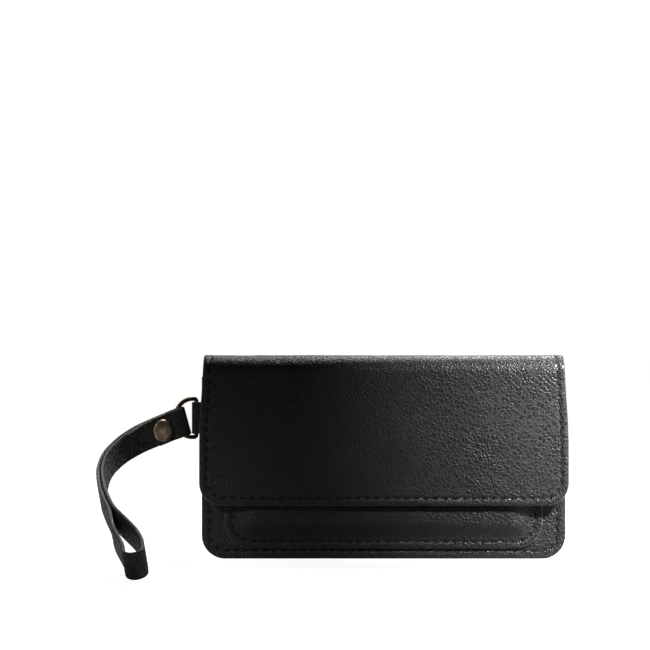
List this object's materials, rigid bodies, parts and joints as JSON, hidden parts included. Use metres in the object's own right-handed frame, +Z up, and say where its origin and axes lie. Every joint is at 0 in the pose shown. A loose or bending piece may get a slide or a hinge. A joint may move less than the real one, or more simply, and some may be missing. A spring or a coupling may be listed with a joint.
{
  "type": "wristlet wallet",
  "caption": "Leather wristlet wallet: gusseted pouch, front slip pocket, folding snapped flap, side D-ring and a riveted wrist strap.",
  "frame": {"origin": "middle of the back panel's lower edge, on which the wallet stands", "axes": "+X to the wearer's right along the width, -Y out of the flap's face, +Z up"},
  "size_m": [0.2394, 0.1505, 0.105],
  "materials": {
    "black_leather": "pebbled black leather, semi-matt, raw cut edges",
    "raw_leather": "black split leather, matt",
    "lining_cloth": "woven twill lining",
    "antique_brass": "antiqued brass, worn bright on high spots",
    "nickelled_steel": "nickelled, smooth"
  },
  "bodies": {
    "pouch": {"back_panel": "black_leather", "back_lining": "lining_cloth", "gusset": "black_leather", "front_panel": "black_leather", "front_lining": "lining_cloth", "divider": "raw_leather", "card_tier_top": "raw_leather", "card_tier_middle": "raw_leather", "card_tier_bottom": "raw_leather", "front_pocket": "black_leather", "snap_socket": "nickelled_steel", "ring_tab": "black_leather"},
    "flap_top": {"flap_top": "black_leather", "flap_top_lining": "lining_cloth"},
    "flap_front": {"flap_face": "black_leather", "flap_face_lining": "lining_cloth", "snap_stud": "nickelled_steel"},
    "ring": {"d_ring": "antique_brass"},
    "strap": {"wrist_strap": "black_leather", "rivet_cap": "antique_brass", "rivet_post": "antique_brass"}
  },
  "joints": [
    {"name": "flap_back_fold", "type": "hinge", "parent": "pouch", "child": "flap_top", "pos_m": [0, -0.00163, 0.10247], "axis": [-1, 0, 0], "range_deg": [0, 90]},
    {"name": "flap_front_fold", "type": "hinge", "parent": "flap_top", "child": "flap_front", "pos_m": [0, -0.02047, 0.10247], "axis": [-1, 0, 0], "range_deg": [0, 90]},
    {"name": "ring_swivel", "type": "hinge", "parent": "pouch", "child": "ring", "pos_m": [-0.097, -0.0107, 0.0725], "axis": [0, 0, 1], "range_deg": [-95, 30]},
    {"name": "strap_slide", "type": "hinge", "parent": "ring", "child": "strap", "pos_m": [-0.09908, -0.0119, 0.0725], "axis": [-0.5, 0.866, 0], "range_deg": [-3, 36]}
  ],
  "couplings": [
    {"joint": "flap_front_fold", "follows": "flap_back_fold", "ratio": 1}
  ]
}
